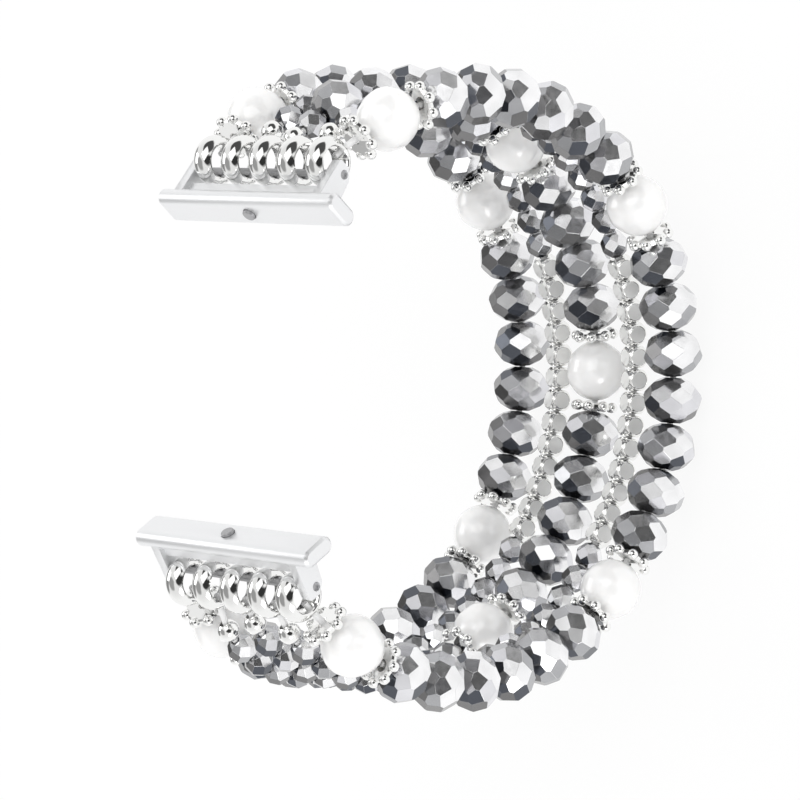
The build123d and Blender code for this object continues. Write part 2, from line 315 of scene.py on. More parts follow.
class BAND_PG_hardware(bpy.types.PropertyGroup):
    ring_radius: length("Ring radius", 2.75, "Outer radius of a ring")
    ring_bore: length("Ring bore", 1.75, "Inner radius of a ring")
    ring_width: length("Ring width", 2.5, "Width of a ring along the rod")
    ring_rim: length("Ring rim", 0.25, "Thickness of the ring at its side")
    ring_hole: length("Cord hole", 0.6, "Radius of the cord's hole through a ring")
    cord_radius: length("Cord radius", 0.35, "Radius of the elastic cord")
    cord_setback: length("Cord setback", 0.17, "How far a cord ends before the gap over a bend")
    knot_offset: length("Knot offset", 1.05, "From the ring's centre to the cord's end")
    adapter_edge: length("Adapter edge", 0.12, "Width of the adapter's broken edges")
    chrome: colour("Chrome", (0.9, 0.9, 0.89), "Colour of the rings")
    satin: colour("Satin metal", (0.86, 0.865, 0.875), "Colour of the adapters")


class BAND_PG_studio(bpy.types.PropertyGroup):
    camera_place: bpy.props.FloatVectorProperty(
        name="Camera place", default=(0.270951, 0.004107, 0.309514), subtype="TRANSLATION",
        unit="LENGTH", precision=5, description="Where the camera stands",
    )
    camera_turn: bpy.props.FloatVectorProperty(
        name="Camera turn", default=(radians(2.962), radians(44.575), radians(5.471)),
        subtype="EULER", description="Turn of the camera",
    )
    camera_lens: bpy.props.FloatProperty(
        name="Lens", default=159.64, min=1, description="Focal length on a 36 mm sensor, in millimetres"
    )
    floor_side: length("Floor side", 3000, "Side of the square floor")
    floor: colour("Floor", (0.93, 0.93, 0.93), "Colour of the floor")
    fill_level: bpy.props.FloatProperty(
        name="Fill level", default=0.93, min=0, description="Light that comes from all round"
    )


SETTINGS = {
    "band_crystals": BAND_PG_crystals,
    "band_pearls": BAND_PG_pearls,
    "band_silver": BAND_PG_silver,
    "band_hardware": BAND_PG_hardware,
    "band_studio": BAND_PG_studio,
}


# Materials


def new_material(name, base, metallic, roughness, coat=0.0):
    """A material with its plain values on the shader's own sockets."""
    material = bpy.data.materials.new(name)
    material.use_nodes = True
    shader = material.node_tree.nodes["Principled BSDF"]
    set_values(shader, Base_Color=(*base, 1), Metallic=metallic, Roughness=roughness, Coat_Weight=coat)
    return material, material.node_tree, shader


def feed(socket, value):
    """Link an input to the socket given, or else set its value."""
    if isinstance(value, bpy.types.NodeSocket):
        socket.id_data.links.new(value, socket)
    else:
        socket.default_value = value


def set_values(node, **values):
    """Set a node's fields and its input sockets by name."""
    for name, value in values.items():
        if name in node.bl_rna.properties:
            setattr(node, name, value)
        else:
            feed(node.inputs[name.replace("_", " ")], value)
    return node


def add_node(tree, kind, **values):
    """A new node with its values set."""
    return set_values(tree.nodes.new(kind), **values)


def calculate(tree, operation, *sources, kind="ShaderNodeMath"):
    """What a math node makes of sockets and plain values."""
    node = add_node(tree, kind, operation=operation)
    for socket, source in zip(node.inputs, sources):
        feed(socket, source)
    return node.outputs["Value"]


def facing_share(tree, heading, direction):
    """How squarely a heading lies along a direction, from -1 to 1."""
    direction = Vector(direction).normalized()
    return calculate(tree, "DOT_PRODUCT", heading, direction, kind="ShaderNodeVectorMath")


def mix_shaders(tree, share, first, second):
    """A node that mixes two others' shaders: a share of 1 is all the second."""
    mix = add_node(tree, "ShaderNodeMixShader")
    for socket, source in zip(mix.inputs, (share, first.outputs[0], second.outputs[0])):
        feed(socket, source)
    return mix


def noise_on(tree, size, detail=3.0, roughness=0.5):
    """Noise on the piece's own coordinates, with features of about the size given."""
    place = add_node(tree, "ShaderNodeTexCoord").outputs["Object"]
    grain = add_node(
        tree, "ShaderNodeTexNoise", Scale=1 / size, Detail=detail, Roughness=roughness, Vector=place
    )
    return grain.outputs["Fac"]


def map_range(tree, source, low, high, from_low=0.3, from_high=0.7):
    """A value sent to another range, by default from the range that noise mostly keeps to."""
    return add_node(
        tree, "ShaderNodeMapRange", Value=source,
        From_Min=from_low, From_Max=from_high, To_Min=low, To_Max=high,
    ).outputs["Result"]


def wander(tree, size, low, high, detail=3.0):
    """A value that wanders between two others, in patches of about the size given."""
    return map_range(tree, noise_on(tree, size, detail), low, high)


def bump_with(tree, shader, height, depth, strength=1.0):
    """Raise the surface by a height between 0 and 1, over the depth given."""
    bump = add_node(tree, "ShaderNodeBump", Strength=strength, Distance=depth, Height=height)
    set_values(shader, Normal=bump.outputs["Normal"])


def facet_material(settings):
    """Half-mirrored cut glass: each facet's shade, from slate to clear, is painted light, shade and
    reflection by how it faces the bright side, with a random tone on top.
    """
    material, tree, shader = new_material("cut_crystal", settings.steel, 0.95, 0.18, coat=0.4)
    # The tone holds painted light, shade and reflection by facing, plus a random part; the ramp turns it
    # into the facet shades
    tone = add_node(tree, "ShaderNodeAttribute", attribute_name="facet_tone").outputs["Fac"]
    ramp = add_node(tree, "ShaderNodeValToRGB", Fac=tone)
    ramp.color_ramp.interpolation = "CONSTANT"
    steps = ramp.color_ramp.elements
    shades = (settings.smoke, settings.slate, settings.steel, settings.pale, settings.clear)
    for count, (place, shade) in enumerate(zip(TONE_STEPS, shades)):
        step = steps[count] if count < 2 else steps.new(place)
        step.position = place
        step.color = (*shade, 1)
    clouded = add_node(tree, "ShaderNodeMix", data_type="RGBA", blend_type="MULTIPLY")
    clouds = wander(tree, 2.5 * MM, low=0.88, high=1.0, detail=1.0)
    set_values(clouded, Factor=1, A=ramp.outputs["Color"], B=clouds)
    polish = wander(tree, 0.6 * MM, low=0.14, high=0.22)
    set_values(shader, Base_Color=clouded.outputs["Result"], Roughness=polish, Coat_Roughness=0.03)
    return material


def pearl_material(settings):
    """White nacre: milky inside, with a soft clear skin and faint growth waves."""
    material, tree, shader = new_material("pearl_nacre", settings.body, 0, 0.35, coat=1.0)
    darker = [0.96 * part for part in settings.body]
    tint = add_node(tree, "ShaderNodeMix", data_type="RGBA")
    patches = wander(tree, 3 * MM, low=0, high=1, detail=2.0)
    set_values(tint, Factor=patches, A=(*darker, 1), B=(*settings.body, 1))
    set_values(
        shader, Base_Color=tint.outputs["Result"], Roughness=wander(tree, 1.2 * MM, low=0.3, high=0.4),
        Coat_Roughness=0.16, Coat_IOR=1.9,
        Subsurface_Weight=0.25, Subsurface_Radius=(1.0, 0.95, 0.9), Subsurface_Scale=0.6 * MM,
    )
    bump_with(tree, shader, noise_on(tree, 1.1 * MM, detail=2.0), depth=0.03 * MM, strength=0.6)
    return material


def plated_material(name, base, roughness):
    """Polished plating, with a trace of haze where fingers have been."""
    material, tree, shader = new_material(name, base, 1, roughness)
    haze = wander(tree, 1.5 * MM, low=0.6 * roughness, high=1.6 * roughness)
    set_values(shader, Roughness=haze)
    return material


def cube_material(settings):
    """Polished plating, with the cubes' flat faces left satin."""
    material, tree, shader = new_material("cube_plating", settings.cube_plating, 1, 0.1)
    satin = add_node(tree, "ShaderNodeAttribute", attribute_name="satin").outputs["Fac"]
    roughness = map_range(tree, satin, low=0.1, high=0.42, from_low=0, from_high=1)
    metallic = map_range(tree, satin, low=1, high=0.35, from_low=0, from_high=1)
    set_values(shader, Roughness=roughness, Metallic=metallic)
    return material


def satin_material(name, base, roughness):
    """Blasted metal: a fine even grain that scatters the light."""
    material, tree, shader = new_material(name, base, 0.75, roughness)
    grain = noise_on(tree, 0.09 * MM, detail=2.0, roughness=0.7)
    set_values(shader, Roughness=map_range(tree, grain, 0.85 * roughness, 1.2 * roughness))
    bump_with(tree, shader, grain, depth=0.012 * MM, strength=0.5)
    return material


def cord_material():
    """Clear elastic, milky in the mass."""
    material, tree, shader = new_material("clear_elastic", (0.98, 0.98, 0.98), 0, 0.4)
    set_values(shader, Transmission_Weight=0.1, IOR=1.48)
    bump_with(tree, shader, noise_on(tree, 0.25 * MM), depth=0.01 * MM, strength=0.4)
    return material


# Mesh forms, each about its own middle with the cord along Z


def link(thing):
    bpy.context.scene.collection.objects.link(thing)
    return thing


def drop(*things):
    """Remove objects that only served to make others."""
    for thing in things:
        bpy.data.objects.remove(thing)


def mesh_object(name, work, scale=1.0):
    """Close a bmesh into a new object whose faces point outwards."""
    bmesh.ops.recalc_face_normals(work, faces=work.faces)
    bmesh.ops.scale(work, vec=(scale,) * 3, verts=work.verts)
    mesh = bpy.data.meshes.new(name)
    work.to_mesh(mesh)
    work.free()
    return link(bpy.data.objects.new(name, mesh))


def evaluated_mesh(thing, **options):
    """What an object's modifiers make of it, as a plain mesh."""
    shape = bpy.context.evaluated_depsgraph_get()
    return bpy.data.meshes.new_from_object(thing.evaluated_get(shape), depsgraph=shape, **options)


def set_finish(mesh, finish):
    """Make a material a mesh's only one."""
    mesh.materials.clear()
    mesh.materials.append(finish)


def smooth(thing, angle=radians(32)):
    """Smooth shading, with sharp edges where faces meet at more than the angle."""
    thing.data.shade_smooth()
    thing.data.set_sharp_from_angle(angle=angle)
    return thing


def slice_off(work, normal, distance):
    """Cut away what lies past a plane and close the cut with one face."""
    cut = bmesh.ops.bisect_plane(
        work, geom=[*work.verts, *work.edges, *work.faces], plane_co=normal * distance,
        plane_no=normal, clear_outer=True, dist=CUT_TOLERANCE,
    )
    rim = [part for part in cut["geom_cut"] if isinstance(part, bmesh.types.BMEdge)]
    if rim:
        bmesh.ops.contextual_create(work, geom=rim)


def drill(work, bore):
    """Open a hole along Z through a form's two flat ends."""
    loops = []
    for end in (1, -1):
        flats = [
            face for face in work.faces
            if face.normal.z * end > FLAT_FACING and face.calc_center_median().z * end > 0
        ]
        flat = max(flats, key=lambda face: face.calc_area())
        reach = min(hypot(vert.co.x, vert.co.y) for vert in flat.verts)
        bmesh.ops.inset_individual(work, faces=[flat], thickness=reach - bore)
        loops += flat.edges
        bmesh.ops.delete(work, geom=[flat], context="FACES_ONLY")
    bmesh.ops.bridge_loops(work, edges=loops)


def cut_bead(name, radius, length, end_radius, bore, sides, settings):
    """A ground bead: three staggered rows of facets each side, flat ends and polished edges."""
    radius, length, end_radius, bore, edge = (
        size / MM for size in (radius, length, end_radius, bore, settings.edge)
    )
    # The facets touch an ellipse that reaches the flat end's rim, and their ridges reach the radius
    girdle_slope = settings.slopes[0]
    ridge_share = (1 - cos(pi / sides)) / (1 + cos(pi / sides))
    wide = (radius * cos(girdle_slope) / (1 + ridge_share)) ** 2
    tall = (length / 2) ** 2 / (1 - (end_radius / radius) ** 2)
    wide = (wide - tall * sin(girdle_slope) ** 2) / cos(girdle_slope) ** 2
    work = bmesh.new()
    bmesh.ops.create_cube(work, size=4 * radius)
    for end in (1, -1):
        slice_off(work, Z_AXIS * end, length / 2)
    for row, slope in enumerate(settings.slopes):
        distance = sqrt(wide * cos(slope) ** 2 + tall * sin(slope) ** 2)
        for end in (1, -1):
            for side in range(sides):
                turn = 2 * pi * (side + (row + (end < 0)) / 2) / sides
                normal = Vector((cos(turn) * cos(slope), sin(turn) * cos(slope), end * sin(slope)))
                slice_off(work, normal, distance)
    work.normal_update()
    bmesh.ops.bevel(work, geom=work.edges[:], offset=edge, segments=1, affect="EDGES")
    work.normal_update()
    drill(work, bore)
    return mesh_object(name, work, MM)


def lathe(work, profile, segments, axis="Z"):
    """Turn a closed outline of (radius, place) points about an axis into a closed ring."""
    rows = []
    for step in range(segments):
        turn = 2 * pi * step / segments
        points = [(reach * cos(turn), reach * sin(turn), place) for reach, place in profile]
        if axis == "X":
            points = [(place, first, second) for first, second, place in points]
        rows.append([work.verts.new(point) for point in points])
    for step, row in enumerate(rows):
        following = rows[(step + 1) % segments]
        for count in range(len(profile)):
            after = (count + 1) % len(profile)
            work.faces.new((row[count], row[after], following[after], following[count]))


def ball_profile(radius, half_length, bore, steps):
    """Half an ellipse from one end of a bore to the other."""
    start = asin(bore / radius)
    turns = [start + (pi - 2 * start) * step / steps for step in range(steps + 1)]
    return [(radius * sin(turn), half_length * cos(turn)) for turn in turns]


def baroque_pearl(name, settings, count):
    """An uneven pearl: dents and swellings fade out towards the drilled ends."""
    work = bmesh.new()
    half = settings.length / 2
    lathe(work, ball_profile(settings.radius, half, settings.bore, PEARL_STEPS), PEARL_PLACES)
    dents = DENT_SHIFT * (count + 1)
    for vert in work.verts:
        reach = hypot(vert.co.x, vert.co.y)
        if reach > 1.05 * settings.bore:
            broad = noise.noise(vert.co / settings.radius * BROAD_DENTS + dents)
            fine = noise.noise(vert.co / settings.radius * FINE_DENTS - dents)
            rings = sin(vert.co.z / half * GROWTH_RINGS + RING_WANDER * broad) * RING_DEPTH
            share = min(1, (reach / settings.radius) * DENT_FADE)
            depth = MEAN_DEPTH - BROAD_DEPTH * broad - FINE_DEPTH * fine + rings
            vert.co -= vert.co.normalized() * max(depth * settings.unevenness * share, 0)
    return smooth(mesh_object(name, work))


def cube_bead(settings):
    """A cube whose corners are rounded by a ball, which leaves six flat round faces."""
    work = bmesh.new()
    bmesh.ops.create_icosphere(work, subdivisions=5, radius=settings.cube_ball / MM)
    half = settings.cube_side / 2 / MM
    for normal in Matrix.Identity(3):
        for end in (1, -1):
            slice_off(work, normal * end, half)
    work.normal_update()
    groove = settings.cube_groove / MM
    satin = work.faces.layers.float.new("satin")
    flats = [face for face in work.faces if face.calc_area() > half**2 and abs(face.normal.z) < 0.5]
    for depth in (-groove, groove):
        bmesh.ops.inset_individual(work, faces=flats, thickness=groove / 2, depth=depth / 2)
    for face in flats:
        face[satin] = 1
    drill(work, settings.cube_bore / MM)
    return smooth(mesh_object("cube_form", work, MM), angle=radians(20))


def round_bead(settings):
    work = bmesh.new()
    outline = ball_profile(settings.round_radius, settings.round_radius, settings.cube_bore, ROUND_STEPS)
    lathe(work, outline, ROUND_PLACES)
    return smooth(mesh_object("round_form", work))


def spacer_core(settings):
    """The disc inside a spacer's balls, with a slightly rounded edge."""
    half, outer, bore = settings.core_thickness / 2, settings.ball_circle, settings.core_bore
    edge = half / 2
    outline = [
        (bore, half), (outer - edge, half), (outer, half - edge),
        (outer, edge - half), (outer - edge, -half), (bore, -half),
    ]
    work = bmesh.new()
    lathe(work, outline, ROUND_PLACES)
    return smooth(mesh_object("spacer_core", work))


# Node trees that repeat a form along the strands


def new_tree(name, inputs):
    """A Geometry Nodes tree, what its named inputs give, and its output node."""
    tree = bpy.data.node_groups.new(name, "GeometryNodeTree")
    tree.interface.new_socket("Geometry", in_out="INPUT", socket_type="NodeSocketGeometry")
    for label, kind in inputs:
        tree.interface.new_socket(label, in_out="INPUT", socket_type=f"NodeSocket{kind}")
    tree.interface.new_socket("Geometry", in_out="OUTPUT", socket_type="NodeSocketGeometry")
    return tree, tree.nodes.new("NodeGroupInput").outputs, tree.nodes.new("NodeGroupOutput")


def chain(geometry, *nodes):
    """Send geometry through nodes one after the other."""
    for node in nodes:
        feed(node.inputs[0], geometry)
        geometry = node.outputs[0]
    return geometry


def finish_tree(tree, given, result, geometry, *nodes):
    """Send geometry through the last nodes, give it the finish and hand it out."""
    finish = add_node(tree, "GeometryNodeSetMaterial", Material=given["Finish"])
    set_values(result, Geometry=chain(geometry, *nodes, finish))
    return tree


def stringing_tree():
    """Put a bead form on each point, turned as its strand runs, with a tone for every facet: painted light
    and shade by how squarely it faces the bright side, plus a random part.
    """
    tree, given, result = new_tree(
        "bead_stringing", (("Form", "Object"), ("Size", "Float"), ("Seed", "Int"), ("Finish", "Material"))
    )
    form = add_node(tree, "GeometryNodeObjectInfo", Object=given["Form"])
    turn = add_node(tree, "GeometryNodeInputNamedAttribute", data_type="FLOAT_VECTOR", Name="bead_turn")
    string = add_node(
        tree, "GeometryNodeInstanceOnPoints", Instance=form.outputs["Geometry"],
        Rotation=turn.outputs["Attribute"], Scale=given["Size"],
    )
    chance = add_node(tree, "FunctionNodeRandomValue", data_type="FLOAT", Seed=given["Seed"])
    chance.inputs[2].default_value, chance.inputs[3].default_value = CHANCE_RANGE
    drawn = next(out for out in chance.outputs if out.enabled and out.type == "VALUE")
    normal = add_node(tree, "GeometryNodeInputNormal").outputs["Normal"]
    # Painted light and shade: the more squarely a facet faces the bright side or away from it, the higher
    # its tone and the paler its shade
    painted_light_facing = calculate(tree, "ABSOLUTE", facing_share(tree, normal, PAINTED_LIGHT_SIDE))
    store = add_node(tree, "GeometryNodeStoreNamedAttribute", data_type="FLOAT", domain="FACE")
    set_values(store, Name="facet_tone", Value=calculate(tree, "ADD", painted_light_facing, drawn))
    realize = add_node(tree, "GeometryNodeRealizeInstances")
    return finish_tree(tree, given, result, given["Geometry"], string, realize, store)


def daisy_tree():
    """Set balls round a core, evenly on a circle."""
    tree, given, result = new_tree("daisy_spacer", (
        ("Balls", "Int"), ("Ball Circle", "Float"), ("Ball Radius", "Float"), ("Finish", "Material"),
    ))
    circle = add_node(tree, "GeometryNodeMeshCircle", Vertices=given["Balls"], Radius=given["Ball Circle"])
    ball = add_node(tree, "GeometryNodeMeshIcoSphere", Subdivisions=3, Radius=given["Ball Radius"])
    set_balls = add_node(tree, "GeometryNodeInstanceOnPoints", Instance=ball.outputs["Mesh"])
    realize = add_node(tree, "GeometryNodeRealizeInstances")
    round_off = add_node(tree, "GeometryNodeSetShadeSmooth")
    balls = chain(circle.outputs["Mesh"], set_balls, realize, round_off)
    join = add_node(tree, "GeometryNodeJoinGeometry")
    for geometry in (given["Geometry"], balls):
        set_values(join, Geometry=geometry)
    return finish_tree(tree, given, result, join.outputs["Geometry"])


def cord_tree():
    """Follow lines of points with a round cord, closed at both ends."""
    tree, given, result = new_tree(
        "cord_round", (("Radius", "Float"), ("Sides", "Int"), ("Finish", "Material"))
    )
    section = add_node(
        tree, "GeometryNodeCurvePrimitiveCircle", Radius=given["Radius"], Resolution=given["Sides"]
    )
    line = add_node(tree, "GeometryNodeMeshToCurve")
    skin = add_node(tree, "GeometryNodeCurveToMesh", Fill_Caps=True, Profile_Curve=section.outputs["Curve"])
    round_off = add_node(tree, "GeometryNodeSetShadeSmooth")
    return finish_tree(tree, given, result, given["Geometry"], line, skin, round_off)


def grow(name, start, tree, **values):
    """Run a tree on a starting mesh and keep the result as a plain mesh object at the origin."""
    sprout = link(bpy.data.objects.new(f"{name}_start", start))
    modifier = sprout.modifiers.new(tree.name, "NODES")
    modifier.node_group = tree
    for socket in tree.interface.items_tree:
        key = socket.name.replace(" ", "_")
        if socket.in_out == "INPUT" and key in values:
            modifier[socket.identifier] = values[key]
    mesh = evaluated_mesh(sprout, preserve_all_data_layers=True)
    drop(sprout)
    mesh.name = name
    return link(bpy.data.objects.new(name, mesh))


def points_mesh(beads):
    """A mesh of bead places, each with the turn of its bead."""
    mesh = bpy.data.meshes.new("bead_places")
    mesh.from_pydata([bead.centre for bead in beads], [], [])
    turns = mesh.attributes.new("bead_turn", "FLOAT_VECTOR", "POINT")
    turns.data.foreach_set("vector", [part for bead in beads for part in bead.turn.to_euler()])
    return mesh


def beads_by_node(kind):
    groups = {}
    for beads in STRANDS.values():
        for bead in beads:
            if bead.kind == kind:
                groups.setdefault(bead.node, []).append(bead)
    return groups


def body_of(node):
    return frame["nodes"][node]["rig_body"]


def fit_piece(piece, node):
    """Let a finished piece ride on a CAD node's body in its place."""
    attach(piece, body_of(node))
    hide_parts(node)


def string_beads(kind, form, finish):
    """String one kind of bead on every part of the band that holds it."""
    stem, slot, seed = STRUNG_KINDS[kind]
    tree = stringing_tree()
    for count, (node, beads) in enumerate(sorted(beads_by_node(kind).items())):
        piece = grow(
            f"{stem}_{node.removeprefix(BEAD_STEMS[kind])}", points_mesh(beads), tree,
            Form=form, Size=1.0, Seed=seed + count, Finish=finish,
        )
        fit_piece(piece, node)
    drop(form)


# Operators, one for each piece or group of like pieces


class BandOperator:
    """What the band's operators share."""

    bl_options = {"REGISTER", "UNDO"}


class BAND_OT_crystals(BandOperator, bpy.types.Operator):
    """String the large and the small cut crystals"""

    bl_idname = "bead_band.crystals"
    bl_label = "Cut Crystals"

    def execute(self, context):
        cut = context.scene.band_crystals
        finish = facet_material(cut)
        large = cut_bead("crystal_form", cut.radius, cut.length, cut.end_radius, cut.bore, cut.sides, cut)
        string_beads("crystal", large, finish)
        small = cut_bead(
            "small_form", cut.small_radius, cut.small_length, cut.small_end_radius,
            cut.small_bore, cut.small_sides, cut,
        )
        string_beads("small", small, finish)
        return {"FINISHED"}


class BAND_OT_pearls(BandOperator, bpy.types.Operator):
    """Set the eleven baroque pearls, each with a shape of its own"""

    bl_idname = "bead_band.pearls"
    bl_label = "Baroque Pearls"

    def execute(self, context):
        settings = context.scene.band_pearls
        finish = pearl_material(settings)
        for count, (node, (bead,)) in enumerate(sorted(beads_by_node("pearl").items())):
            piece = baroque_pearl(f"baroque_{node}", settings, count)
            piece.data.transform(Matrix.Translation(bead.centre) @ bead.turn.to_4x4())
            set_finish(piece.data, finish)
            fit_piece(piece, node)
        return {"FINISHED"}


class BAND_OT_silver_beads(BandOperator, bpy.types.Operator):
    """String the daisy spacers, the rounded cubes and the round end beads"""

    bl_idname = "bead_band.silver_beads"
    bl_label = "Silver Beads"

    def execute(self, context):
        silver = context.scene.band_silver
        finish = plated_material("silver_plating", silver.plating, 0.05)
        core = spacer_core(silver)
        daisy = grow(
            "spacer_form", core.data, daisy_tree(), Balls=silver.balls,
            Ball_Circle=silver.ball_circle, Ball_Radius=silver.ball_radius, Finish=finish,
        )
        drop(core)
        string_beads("spacer", daisy, finish)
        string_beads("cube", cube_bead(silver), cube_material(silver))
        string_beads("round", round_bead(silver), finish)
        return {"FINISHED"}


def ring_profile(hardware):
    """Half-round outside, straight bore and softened rims, as (radius, place along the rod)."""
    half = hardware.ring_width / 2
    rim = hardware.ring_bore + hardware.ring_rim
    rise = hardware.ring_radius - rim
    arc_radius = (half**2 + rise**2) / (2 * rise)
    reach = asin(half / arc_radius)
    outline = []
    for step in range(RING_STEPS + 1):
        turn = -reach + 2 * reach * step / RING_STEPS
        outline.append((hardware.ring_radius - arc_radius * (1 - cos(turn)), arc_radius * sin(turn)))
    soft = hardware.ring_rim / 3
    bore = hardware.ring_bore
    return outline + [(bore + soft, half), (bore, half - soft), (bore, soft - half), (bore + soft, -half)]


def cord_heading(centre, end):
    """From a ring's centre towards its strand's last bead, along the cord."""
    return (STRANDS[strand_of(centre.x)][-1 if end > 0 else 0].centre - centre).normalized()


def bored_ring(name, centre, end, hardware):
    """One ring, with a hole where its cord comes through."""
    work = bmesh.new()
    lathe(work, ring_profile(hardware), RING_PLACES, axis="X")
    ring = mesh_object(name, work)
    cutter = bmesh.new()
    heading = cord_heading(centre, end)
    bmesh.ops.create_cone(
        cutter, cap_ends=True, segments=HOLE_PLACES, radius1=hardware.ring_hole,
        radius2=hardware.ring_hole, depth=hardware.ring_radius,
    )
    turn = heading.to_track_quat("Z", "X").to_matrix().to_4x4()
    place = Matrix.Translation(heading * hardware.ring_radius) @ turn
    bmesh.ops.transform(cutter, matrix=place, verts=cutter.verts)
    tool = mesh_object(f"{name}_cutter", cutter)
    hole = ring.modifiers.new("cord_hole", "BOOLEAN")
    hole.object = tool
    hole.solver = "EXACT"
    mesh = evaluated_mesh(ring)
    mesh.transform(Matrix.Translation(centre))
    drop(ring, tool)
    return mesh


def join_meshes(name, meshes):
    """One object from several meshes."""
    work = bmesh.new()
    for mesh in meshes:
        work.from_mesh(mesh)
        bpy.data.meshes.remove(mesh)
    return mesh_object(name, work)


class BAND_OT_rings(BandOperator, bpy.types.Operator):
    """Hang five chrome rings on each cross rod"""

    bl_idname = "bead_band.rings"
    bl_label = "Chrome Rings"

    def execute(self, context):
        hardware = context.scene.band_hardware
        finish = plated_material("ring_chrome", hardware.chrome, 0.05)
        for end, node in ((1, "rings_upper"), (-1, "rings_lower")):
            meshes = [bored_ring("ring_form", centre, end, hardware) for centre in solid_centres(node)]
            piece = smooth(join_meshes(f"chrome_{node}", meshes), angle=radians(28))
            set_finish(piece.data, finish)
            fit_piece(piece, node)
        return {"FINISHED"}


def cord_route(side):
    """The places that a strand's cord runs through, from the lower ring's centre to the upper one's."""
    ends = [
        next(centre for centre in solid_centres(node) if strand_of(centre.x) == side)
        for node in ("rings_lower", "rings_upper")
    ]
    return [ends[0], *(bead.centre for bead in STRANDS[side]), ends[1]]


def cord_line(route, low, high):
    """Points on a cord's route between two angles, about a millimetre apart."""
    steps = max(2, round((high - low) * LOOP_RADIUS / MM))
    angles = np.linspace(low, high, steps + 1)
    known = [loop_angle(place) for place in route]
    places = np.interp(angles, known, [place.x for place in route])
    reaches = np.interp(angles, known, [loop_reach(place) for place in route])
    return [loop_point(x, angle, reach) for x, angle, reach in zip(places, angles, reaches)]


def piece_of(angle):
    """Which piece of the band an angle lies in: 0 at the back, up to 4 and -4 at the rings."""
    step = sum(abs(angle) > bend for bend in BEND_ANGLES)
    return step if angle > 0 else -step


def cord_cuts(side, lengths):
    """The angles at which a strand passes from one piece of the band to the next."""
    cuts = []
    for before, after in zip(STRANDS[side], STRANDS[side][1:]):
        low, high = loop_angle(before.centre), loop_angle(after.centre)
        if piece_of(low) != piece_of(high):
            share = lengths[before.kind] / (lengths[before.kind] + lengths[after.kind])
            cuts.append(low + (high - low) * share)
    return cuts


def segment_name(piece):
    """The name in the frame of a piece of the band, by its step from the back."""
    return "back" if piece == 0 else f"upper_{piece}" if piece > 0 else f"lower_{-piece}"


def lines_mesh(lines):
    """A mesh of open lines of points."""
    verts, edges = [], []
    for line in lines:
        edges += [(len(verts) + count, len(verts) + count + 1) for count in range(len(line) - 1)]
        verts += line
    mesh = bpy.data.meshes.new("cord_lines")
    mesh.from_pydata(verts, edges, [])
    return mesh


class BAND_OT_cords(BandOperator, bpy.types.Operator):
    """Thread the five elastic cords, with a short stretch of each over every bend"""

    bl_idname = "bead_band.cords"
    bl_label = "Elastic Cords"

    def execute(self, context):
        hardware = context.scene.band_hardware
        crystals, silver = context.scene.band_crystals, context.scene.band_silver
        lengths = {
            "crystal": crystals.length, "small": crystals.small_length,
            "pearl": context.scene.band_pearls.length, "spacer": silver.spacer_length,
            "cube": silver.cube_side, "round": 2 * silver.round_radius,
        }
        finish, tree = cord_material(), cord_tree()
        pieces = {step: [] for step in range(-len(BEND_ANGLES), len(BEND_ANGLES) + 1)}
        for side in STRANDS:
            route = cord_route(side)
            knot, setback = hardware.knot_offset / LOOP_RADIUS, hardware.cord_setback / LOOP_RADIUS
            cuts = cord_cuts(side, lengths)
            starts = [loop_angle(route[0]) + knot, *(cut + setback for cut in cuts)]
            stops = [*(cut - setback for cut in cuts), loop_angle(route[-1]) - knot]
            for piece, low, high in zip(pieces, starts, stops):
                pieces[piece].append(cord_line(route, low, high))
            for count, cut in enumerate(cuts):
                self.bridge(side, route, cut, count - len(BEND_ANGLES), hardware, tree, finish)
        for piece, lines in pieces.items():
            node = f"cords_{segment_name(piece)}"
            cords = grow(
                f"elastic_{node}", lines_mesh(lines), tree,
                Radius=hardware.cord_radius, Sides=CORD_SIDES, Finish=finish,
            )
            fit_piece(cords, node)
        return {"FINISHED"}

    def bridge(self, side, route, cut, low_piece, hardware, tree, finish):
        """A short stretch of one cord that lies over a bend."""
        reach = hardware.cord_radius / LOOP_RADIUS
        line = cord_line(route, cut - reach, cut + reach)
        outer_piece = low_piece if low_piece < 0 else low_piece + 1
        piece = grow(
            f"cord_stretch_{STRAND_NAMES[side]}_{segment_name(outer_piece)}", lines_mesh([line]), tree,
            Radius=hardware.cord_radius * STRETCH_SHARE, Sides=CORD_SIDES, Finish=finish,
        )
        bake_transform(piece)


class BAND_OT_adapters(BandOperator, bpy.types.Operator):
    """Finish the two adapters, their cross rods, lock buttons and springs"""

    bl_idname = "bead_band.adapters"
    bl_label = "Adapters"

    def execute(self, context):
        hardware = context.scene.band_hardware
        satin = satin_material("satin_adapter", hardware.satin, 0.34)
        steel = satin_material("pin_steel", (0.4, 0.4, 0.41), 0.3)
        for end in ("upper", "lower"):
            node = f"adapter_{end}"
            work = merged_node(node)
            bmesh.ops.dissolve_limit(work, angle_limit=radians(1), verts=work.verts, edges=work.edges)
            piece = mesh_object(f"satin_{node}", work)
            bevel = piece.modifiers.new("broken_edges", "BEVEL")
            bevel.width, bevel.segments = hardware.adapter_edge, 3
            bevel.limit_method, bevel.angle_limit = "ANGLE", radians(40)
            mesh = evaluated_mesh(piece)
            piece.modifiers.clear()
            piece.data = mesh
            set_finish(mesh, satin)
            smooth(piece, angle=radians(35))
            fit_piece(piece, node)
            for part in ("cross_rod", "lock_button", "button_spring"):
                set_finish(frame["nodes"][f"{part}_{end}"].data, steel)
        return {"FINISHED"}


# Studio


def softbox(name, direction, distance, side, level):
    """A square lamp aimed at the band, whose level is what a white card facing it would show."""
    lamp = bpy.data.lights.new(name, "AREA")
    lamp.size = side
    lamp.energy = pi**2 * distance**2 * level
    thing = link(bpy.data.objects.new(name, lamp))
    heading = Vector(direction).normalized()
    thing.location = Vector((0, 0, LOOP_HEIGHT)) + heading * distance
    thing.rotation_euler = heading.to_track_quat("Z", "Y").to_euler()


